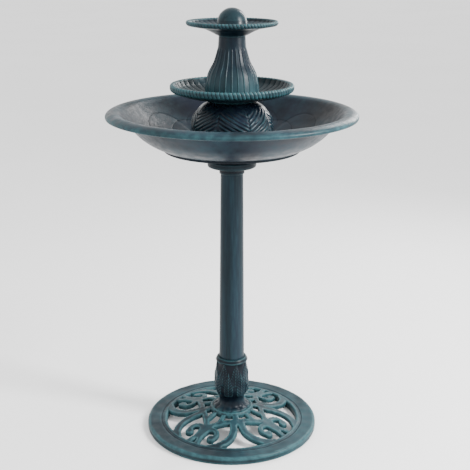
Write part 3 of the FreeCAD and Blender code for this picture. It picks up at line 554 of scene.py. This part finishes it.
def cut_away(mesh, blocks=(), rods=()):
    """Takes blocks (low corner, high corner, turn about the axis) and upright rods (place, radius,
    low, high) out of a mesh."""
    tools = bmesh.new()
    for low, high, turn in blocks:
        middle = (Vector(low) + Vector(high)) / 2
        spot = Matrix.Rotation(turn, 4, "Z") @ Matrix.Translation(middle)
        spot @= Matrix.Diagonal((*(Vector(high) - Vector(low)), 1.0))
        bmesh.ops.create_cube(tools, size=1.0, matrix=spot)
    for (x, y), radius, low, high in rods:
        bmesh.ops.create_cone(tools, cap_ends=True, segments=64, radius1=radius, radius2=radius,
                              depth=high - low, matrix=Matrix.Translation((x, y, (low + high) / 2)))
    tool_mesh = bpy.data.meshes.new("tools")
    tools.to_mesh(tool_mesh)
    tools.free()
    tool = bpy.data.objects.new("tools", tool_mesh)
    whole = bpy.data.objects.new("whole", mesh)
    for item in (tool, whole):
        bpy.context.scene.collection.objects.link(item)
    cut = whole.modifiers.new("cut", "BOOLEAN")
    cut.operation = "DIFFERENCE"
    cut.solver = "EXACT"
    cut.object = tool
    graph = bpy.context.evaluated_depsgraph_get()
    left = bpy.data.meshes.new_from_object(whole.evaluated_get(graph))
    for item in (tool, whole):
        bpy.data.objects.remove(item)
    return left


basin_mesh = turned("basin_skin", [
    [(0.0, under), (lug_room, under)],
    [(lug_room, under), (lug_room, lug_roof)],
    [(lug_room, lug_roof), (head_bore, lug_roof)],
    [(head_bore, lug_roof), (head_bore, seat)],
    [(head_bore, seat), (boss, seat)],
    [(boss, seat), (boss, under)],
    [(boss, under), (ring_foot - 0.006, under)],
    [(ring_foot - 0.006, under), (ring_foot - 0.006, under - 0.0035), (ring_foot - 0.0045, under - 0.005)],
    [(ring_foot - 0.0045, under - 0.005), (ring_foot - 0.0015, under - 0.005), (ring_foot, under - 0.0035)],
    [(ring_foot, under - 0.0035), (ring_foot, under + 0.001), (0.1746, under + 0.002)],
    [(0.1746, under + 0.002), (0.187, under + 0.007), (0.2048, under + 0.016), (0.2178, under + 0.0245),
     (0.2322, under + 0.036), (0.2500, under + 0.0545), (0.2640, under + 0.0700), (0.2745, crest - 0.0130),
     (0.2830, crest - 0.0062), (0.2905, crest - 0.0038), (0.2985, crest - 0.0062),
     (0.3045, crest - 0.0105), (0.3080, lip_low)],
    [(0.3080, lip_low), (0.3092, lip_low - 0.0008), (0.3112, lip_low), (rim, lip_low + 0.0026)],
    [(rim, lip_low + 0.0026), (0.3114, crest - 0.0088), (0.3066, crest - 0.0042), (0.2985, crest - 0.0008),
     (0.2905, crest), (0.2835, crest - 0.0014), (0.2780, crest - 0.0042)],
    [(0.2780, crest - 0.0042), (0.2728, crest - 0.0092), (0.2640, under + 0.0740), (0.2485, under + 0.0570),
     (0.2280, under + 0.0370), (0.2107, under + 0.0245), (0.1969, under + 0.016), (0.186, under + 0.0103),
     (0.176, floor_level + 0.003), (0.1656, floor_level)],
    [(0.1656, floor_level), (locating_outer, floor_level)],
    [(locating_outer, floor_level), (locating_outer, locating_top)],
    [(locating_outer, locating_top), (locating_inner, locating_top)],
    [(locating_inner, locating_top), (locating_inner, floor_level)],
    [(locating_inner, floor_level), (0.0, floor_level)],
], 960, basin_relief, pitch=0.0016)
plug_low, plug_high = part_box("cable_grommet")
cable_place = (plug_low.y + plug_high.y) / 2
cable_hole = 0.007
gap_half = 0.015
basin_mesh = cut_away(basin_mesh, blocks=[
    ((0.070, -gap_half, floor_level - 0.0001), (0.079, gap_half, locating_top + 0.001), math.pi / 2 * side)
    for side in range(4)
], rods=[((0.0, cable_place), cable_hole, under - 0.002, floor_level + 0.002)])
basin_paint = verdigris("basin_paint", brushed=0.8, body=(0.006, 0.014, 0.024, 1.0), plum=0.4)
# The basin's underside and its foot ring get painted shade, darkened nearly to black.
finished("basin_skin", basin_mesh, "basin_group", "basin", basin_paint, reach=0.00022, passes=4,
         unpainted_below=under + 0.0025)


# ---- Ball cover -------------------------------------------------------------------------------
# The ball over the pump, standing on the basin's floor and carrying the middle bowl. Chevrons
# with fine slanted grooves run round it over soft leaf-like swellings.
ball_low, ball_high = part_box("ball_cover")
ball_foot = 0.080
ball_top = ball_high.z - 0.008
belly = ball_high.x
ball_neck = 0.055
ball_spigot = 0.044
shell = 0.003


def ball_relief(radius, height, angle, zone):
    around = ((angle + math.pi / 2 + 0.35) * 4 / (2 * math.pi)) % 1.0
    zigzag = np.abs(around * 2 - 1)
    level = height - ball_low.z - 0.046 * (zigzag - 0.5)
    grooves = (np.abs(((level / 0.0105) % 1.0) * 2 - 1)) ** 2
    ridge = np.exp(-(((level + 0.004) % 0.047 - 0.0235) / 0.0052) ** 2)
    lumps = (np.sin(angle * 7 + height * 60) * np.sin(angle * 4 - height * 95)
             + 0.6 * np.sin(angle * 13 + height * 40) * np.sin(height * 150))
    band = rounded((height - ball_low.z - 0.006) / 0.01) * rounded((ball_top - height - 0.006) / 0.02)
    crease = np.exp(-(np.minimum(zigzag, 1 - zigzag) / 0.03) ** 2)
    skin = -0.0022 * grooves + 0.0022 * ridge + 0.0012 * lumps - 0.0016 * crease - 0.0012
    return np.where(zone == 0, np.minimum(skin * band, 0.0), 0.0)


ball_mesh = turned("ball_skin", [
    [(ball_foot, ball_low.z), (0.0885, ball_low.z + 0.0105), (0.0960, ball_low.z + 0.0235),
     (0.1008, ball_low.z + 0.036), (belly, ball_low.z + 0.048), (0.1018, ball_low.z + 0.0610),
     (0.0968, ball_low.z + 0.0760), (0.0870, ball_low.z + 0.0910), (0.0735, ball_low.z + 0.1035),
     (ball_neck, ball_top)],
    [(ball_neck, ball_top), (ball_spigot, ball_top)],
    [(ball_spigot, ball_top), (ball_spigot, ball_high.z)],
    [(ball_spigot, ball_high.z), (ball_spigot - shell, ball_high.z)],
    [(ball_spigot - shell, ball_high.z), (ball_spigot - shell, ball_top - shell)],
    [(ball_spigot - shell, ball_top - shell), (0.053, ball_top - shell)],
    [(0.053, ball_top - shell), (0.0718, ball_low.z + 0.1008), (0.0848, ball_low.z + 0.0888),
     (0.0942, ball_low.z + 0.0745), (0.0985, ball_low.z + 0.0602), (belly - 0.0035, ball_low.z + 0.048),
     (0.0975, ball_low.z + 0.036), (0.0927, ball_low.z + 0.0240), (0.0852, ball_low.z + 0.011),
     (ball_foot - shell, ball_low.z)],
    [(ball_foot - shell, ball_low.z), (ball_foot, ball_low.z)],
], 900, ball_relief, pitch=0.0011)
ball_mesh = cut_away(ball_mesh, blocks=[
    ((0.070, -0.012, ball_low.z - 0.001), (0.100, 0.012, ball_low.z + 0.014), math.pi / 2 * side)
    for side in range(4)])
ball_paint = verdigris("ball_paint", brushed=0.45, body=(0.003, 0.006, 0.011, 1.0), plum=0.8, gloss=0.26)
finished("ball_skin", ball_mesh, "head", "ball_cover", ball_paint, reach=0.00018, passes=3)


# ---- Middle bowl ------------------------------------------------------------------------------
# A broad bowl with a deep band of slanted scallops round its rim and flutes running down inside.
# It sits over the ball's neck and has a ring that centres the column.
middle_low, middle_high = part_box("middle_bowl")
middle_rim = middle_high.z
middle_edge = middle_high.x
middle_under = middle_low.z + 0.009
middle_floor = middle_under + shell
middle_socket = 0.04415
boss_radius = 0.057
ring_inside, ring_outside = 0.0607, 0.0637
ring_height = middle_floor + 0.006
tube_hole = 0.00815
MIDDLE_BELOW, MIDDLE_BAND, MIDDLE_INSIDE = 3, 4, 5


def rope(angle, height, lobes, lean, depth):
    """Round lobes side by side with sharp valleys between, leaning along the height."""
    across = ((angle * lobes / (2 * math.pi) + lean * height) % 1.0) * 2 - 1
    return depth * (np.sqrt(np.clip(1 - 0.96 * across ** 2, 0.0, 1.0)) - 1)


def middle_relief(radius, height, angle, zone):
    band = rope(angle, height - middle_rim, 96, 30.0, 0.0022)
    band = band * rounded((height - middle_rim + 0.0185) / 0.003)
    band = band * (1 - 0.75 * rounded((0.1475 - radius) / 0.004) * (height > middle_rim - 0.003))
    inside = rope(angle, height * 0, 48, 0.0, 0.0017) * rounded((radius - 0.080) / 0.012)
    below = rope(angle, height * 0, 26, 0.0, 0.0016) * rounded((radius - 0.066) / 0.01)
    return np.select([zone == MIDDLE_BAND, zone == MIDDLE_INSIDE, zone == MIDDLE_BELOW],
                     [band, inside, below], 0.0)


middle_mesh = turned("middle_skin", [
    [(middle_socket, middle_low.z), (boss_radius - 0.002, middle_low.z)],
    [(boss_radius - 0.002, middle_low.z), (boss_radius, middle_under)],
    [(boss_radius, middle_under), (0.080, middle_under)],
    [(0.080, middle_under), (0.0925, middle_under + 0.0006), (0.112, middle_under + 0.0040),
     (0.131, middle_under + 0.0098), (0.1465, middle_rim - 0.0182)],
    [(0.1465, middle_rim - 0.0182), (0.1505, middle_rim - 0.0155), (middle_edge, middle_rim - 0.0115),
     (middle_edge, middle_rim - 0.0045), (0.1510, middle_rim - 0.0014), (0.1480, middle_rim),
     (0.1440, middle_rim - 0.0006), (0.1415, middle_rim - 0.0022)],
    [(0.1415, middle_rim - 0.0022), (0.1390, middle_rim - 0.0075), (0.1330, middle_rim - 0.0150),
     (0.1185, middle_floor + 0.0075), (0.102, middle_floor + 0.0025), (0.088, middle_floor + 0.0002),
     (0.078, middle_floor)],
    [(0.078, middle_floor), (ring_outside, middle_floor)],
    [(ring_outside, middle_floor), (ring_outside, ring_height)],
    [(ring_outside, ring_height), (ring_inside, ring_height)],
    [(ring_inside, ring_height), (ring_inside, middle_floor)],
    [(ring_inside, middle_floor), (tube_hole, middle_floor)],
    [(tube_hole, middle_floor), (tube_hole, middle_under)],
    [(tube_hole, middle_under), (middle_socket, middle_under)],
    [(middle_socket, middle_under), (middle_socket, middle_low.z)],
], 1536, middle_relief, pitch=0.0011)
middle_paint = verdigris("middle_paint", brushed=1.35, plum=0.3, wash=0.35)
finished("middle_skin", middle_mesh, "head", "middle_bowl", middle_paint, reach=0.00020, passes=3)


# ---- Column -----------------------------------------------------------------------------------
# A bell-shaped hollow column with thin raised ridges from below its plain dark neck down to its
# foot, where the paint is greener. Its top takes the top bowl's spigot.
column_low, column_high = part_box("column")
column_foot = column_high.x
shoulder = column_low.z + 0.049
throat = column_low.z + 0.113
ridges = 26
neck_outside, neck_inside = 0.034, 0.02695
neck_floor = column_high.z - 0.014


def column_relief(radius, height, angle, zone):
    across = ((angle * ridges / (2 * math.pi)) % 1.0 - 0.5) * 2 * math.pi / ridges * radius
    ridge = np.exp(-(across / 0.0011) ** 2) * rounded((throat + 0.010 - height) / 0.016)
    ridge = ridge * (0.6 + 0.4 * rounded((height - column_low.z) / 0.004))
    return np.where(zone == 0, 0.0015 * ridge - 0.0015, 0.0)


column_mesh = turned("column_skin", [
    [(column_foot, column_low.z), (0.0668, column_low.z + 0.014), (0.0648, column_low.z + 0.033),
     (0.0615, shoulder), (0.0585, shoulder + 0.009), (0.0535, shoulder + 0.019),
     (0.04775, shoulder + 0.029), (0.0435, shoulder + 0.039), (0.0402, shoulder + 0.0495),
     (0.0365, throat), (0.0350, column_high.z - 0.016), (neck_outside, column_high.z)],
    [(neck_outside, column_high.z), (neck_inside, column_high.z)],
    [(neck_inside, column_high.z), (neck_inside, neck_floor)],
    [(neck_inside, neck_floor), (0.0330, throat), (0.0372, shoulder + 0.0485),
     (0.04475, shoulder + 0.028), (0.0505, shoulder + 0.018), (0.0552, shoulder + 0.008),
     (0.0585, shoulder), (0.0618, column_low.z + 0.033), (0.0638, column_low.z + 0.014),
     (column_foot - shell, column_low.z)],
    [(column_foot - shell, column_low.z), (column_foot, column_low.z)],
], 1040, column_relief, pitch=0.0016)
column_paint = verdigris("column_paint", brushed=0.9, streak=(1.0, 1.0, 0.3), plum=0.6, wash=0.6,
                         wash_from=column_low.z, wash_to=column_low.z + 0.085)
finished("column_skin", column_mesh, "head", "column", column_paint, reach=0.00016, passes=3)


# ---- Top bowl ---------------------------------------------------------------------------------
# The smallest bowl: a smooth cup under a flat brim, with a rope edge and shell-like flutes
# inside. A spigot under it drops into the column.
top_low, top_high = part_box("top_bowl")
top_edge = top_high.x
top_rim = top_high.z
cup = column_high.z
top_floor = cup + 0.006
cup_roof = cup + shell
top_spigot = 0.0268
top_spigot_bore = top_spigot - shell
TOP_BAND, TOP_INSIDE = 5, 6


def top_relief(radius, height, angle, zone):
    band = rope(angle, height - top_rim, 80, 40.0, 0.0018)
    band = band * rounded((height - top_rim + 0.0112) / 0.002)
    inside = rope(angle, height * 0, 40, 0.0, 0.0013) * rounded((radius - 0.052) / 0.012)
    return np.select([zone == TOP_BAND, zone == TOP_INSIDE], [band, inside], 0.0)


top_mesh = turned("top_skin", [
    [(top_spigot_bore, top_low.z), (top_spigot, top_low.z)],
    [(top_spigot, top_low.z), (top_spigot, cup)],
    [(top_spigot, cup), (neck_outside, cup)],
    [(neck_outside, cup), (0.0410, cup + 0.0032), (0.0525, cup + 0.0094), (0.0688, cup + 0.0168)],
    [(0.0688, cup + 0.0168), (0.0880, cup + 0.0203), (0.1075, top_rim - 0.011)],
    [(0.1075, top_rim - 0.011), (0.1103, top_rim - 0.0085), (top_edge, top_rim - 0.006),
     (top_edge, top_rim - 0.0032), (0.1102, top_rim - 0.0008), (0.1080, top_rim),
     (0.1045, top_rim - 0.0006), (0.1022, top_rim - 0.0030)],
    [(0.1022, top_rim - 0.0030), (0.0990, top_rim - 0.0072), (0.0850, cup + 0.0233),
     (0.0678, cup + 0.0199), (0.0560, cup + 0.0125), (0.044, top_floor)],
    [(0.044, top_floor), (tube_hole, top_floor)],
    [(tube_hole, top_floor), (tube_hole, cup_roof)],
    [(tube_hole, cup_roof), (top_spigot_bore, cup_roof)],
    [(top_spigot_bore, cup_roof), (top_spigot_bore, top_low.z)],
], 1280, top_relief, pitch=0.0011)
top_paint = verdigris("top_paint", brushed=1.1, plum=0.7, wash=0.12)
finished("top_skin", top_mesh, "head", "top_bowl", top_paint, reach=0.00018, passes=3)


# ---- Finial -----------------------------------------------------------------------------------
# The smooth hollow dome on top, over the spray nozzle. Water leaves by small notches round its
# foot.
cap_low, cap_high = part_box("finial")
dome = 0.0361
dome_centre = cap_high.z - dome


def arc(radius, centre, start, stop, count):
    """Points of an arc about a spot on the axis, from one elevation in degrees to another."""
    return [(radius * math.cos(math.radians(start + (stop - start) * step / count)),
             centre + radius * math.sin(math.radians(start + (stop - start) * step / count)))
            for step in range(count + 1)]


cap_mesh = turned("finial_skin", [
    [(0.0393, cap_low.z), (0.0400, cap_low.z + 0.0008), (0.0399, cap_low.z + 0.006),
     (0.0388, cap_low.z + 0.0150), *arc(dome, dome_centre, 6, 90, 14)],
    [*arc(dome - shell, dome_centre, 90, 8, 12), (0.0358, cap_low.z + 0.0150), (0.0370, cap_low.z)],
    [(0.0370, cap_low.z), (0.0393, cap_low.z)],
], 192, pitch=0.0012)
cap_mesh = cut_away(cap_mesh, blocks=[
    ((0.030, -0.0045, cap_low.z - 0.001), (0.045, 0.0045, cap_low.z + 0.007), math.pi / 3 * side)
    for side in range(6)])
finial_paint = verdigris("finial_paint", brushed=0.8, plum=0.5, gloss=0.27, wash=0.22)
finished("finial_skin", cap_mesh, "finial_cap", "finial", finial_paint)


# ---- Pump, tube and fixings -------------------------------------------------------------------
# What the shells hide: a small submersible pump with its strainer and dial, the riser tube and
# nozzle, and the tie rod through the post. Each keeps its CAD mesh and gets its own material.
def moulded(name, colour, roughness, grain=260.0, relief=0.25, coat=0.0, metallic=0.0,
            streak=(1.0, 1.0, 1.0)):
    """A moulded, ground or plated finish: a little mottled, with a fine grain in its gloss."""
    material, shader, start = new_material(name, roughness, metallic, coat)
    mottle = start.speckle(38.0, 4.0, streak).between(0.30, 0.72)
    fine = start.speckle(grain, 3.0, streak)
    pale = tuple(min(1.0, channel * 1.35 + 0.012) for channel in colour)
    feed(shader, "Base Color", mottle.blended((*colour, 1.0), (*pale, 1.0)))
    feed(shader, "Roughness", mottle * 0.10 + fine * 0.12 + (roughness - 0.10))
    feed(shader, "Normal", start.made("ShaderNodeBump", Height=fine, Strength=relief,
                                      Distance=0.0004))
    return material


finishes = {
    "black_plastic": moulded("black_plastic", (0.018, 0.019, 0.021), 0.52),
    "grey_plastic": moulded("grey_plastic", (0.30, 0.31, 0.32), 0.40, coat=0.05),
    "tube_plastic": moulded("tube_plastic", (0.52, 0.58, 0.58), 0.30, grain=120.0, coat=0.2),
    "rubber": moulded("rubber", (0.022, 0.022, 0.022), 0.72, grain=500.0, relief=0.4),
    "zinc_steel": moulded("zinc_steel", (0.56, 0.56, 0.54), 0.34, metallic=1.0,
                          streak=(1.0, 1.0, 0.2)),
    "ferrite": moulded("ferrite", (0.045, 0.043, 0.043), 0.55, grain=700.0),
    "ceramic": moulded("ceramic", (0.80, 0.79, 0.75), 0.16, coat=0.4, relief=0.05),
    "potted_core": moulded("potted_core", (0.040, 0.034, 0.028), 0.45, streak=(1.0, 6.0, 1.0)),
}
for part in frame["record"]["subparts"]:
    finish = finishes.get(part["material_slot"])
    if finish is not None:
        for surface in frame["nodes"][part["node"]].material_slots:
            surface.material = finish

# The edges of the cut plastic pieces and of the nuts are eased a little.
eased_edge = 0.0004
for node in ("pump_housing", "intake_cover", "flow_dial", "rod_nuts"):
    bevel = frame["nodes"][node].modifiers.new("eased", "BEVEL")
    bevel.width = eased_edge
    bevel.segments = 2
    bevel.limit_method = "ANGLE"
    bevel.angle_limit = math.radians(40)


# ---- Floor and light --------------------------------------------------------------------------
# A plain pale floor that runs out into a pale surround, a large soft light high on the right, a
# weaker one on the left and a narrow one behind that draws the edges.
floor_mesh = bpy.data.meshes.new("floor")
reach = 60
floor_mesh.from_pydata([(-reach, -reach, 0), (reach, -reach, 0), (reach, reach, 0), (-reach, reach, 0)],
                       [], [(0, 1, 2, 3)])
floor = bpy.data.objects.new("floor", floor_mesh)
bpy.context.scene.collection.objects.link(floor)
floor_paint, floor_shader, floor_start = new_material("floor_paint", 0.85)
feed(floor_shader, "Base Color", floor_start.speckle(0.8, 2.0).between(0.2, 0.8).blended(
    (0.80, 0.80, 0.80, 1.0), (0.83, 0.83, 0.83, 1.0)))
floor_mesh.materials.append(floor_paint)

world = bpy.data.worlds.new("surround")
world.use_nodes = True
world.node_tree.nodes["Background"].inputs["Color"].default_value = (1.0, 1.0, 1.0, 1.0)
world.node_tree.nodes["Background"].inputs["Strength"].default_value = 1.9
bpy.context.scene.world = world

for name, place, aim, size, power in (
        ("key", (1.9, -0.8, 1.75), (0.0, 0.0, 0.80), (0.45, 1.0), 150.0),
        ("fill", (-2.0, -1.2, 1.1), (0.0, 0.0, 0.6), (0.8, 1.6), 8.0),
        ("rim", (1.1, 1.6, 1.7), (0.0, 0.0, 0.8), (0.5, 1.4), 40.0)):
    lamp_data = bpy.data.lights.new(name, "AREA")
    lamp_data.shape = "RECTANGLE"
    lamp_data.size, lamp_data.size_y = size
    lamp_data.energy = power
    lamp = bpy.data.objects.new(name, lamp_data)
    lamp.location = place
    lamp.rotation_euler = (Vector(aim) - Vector(place)).to_track_quat("-Z", "Y").to_euler()
    bpy.context.scene.collection.objects.link(lamp)
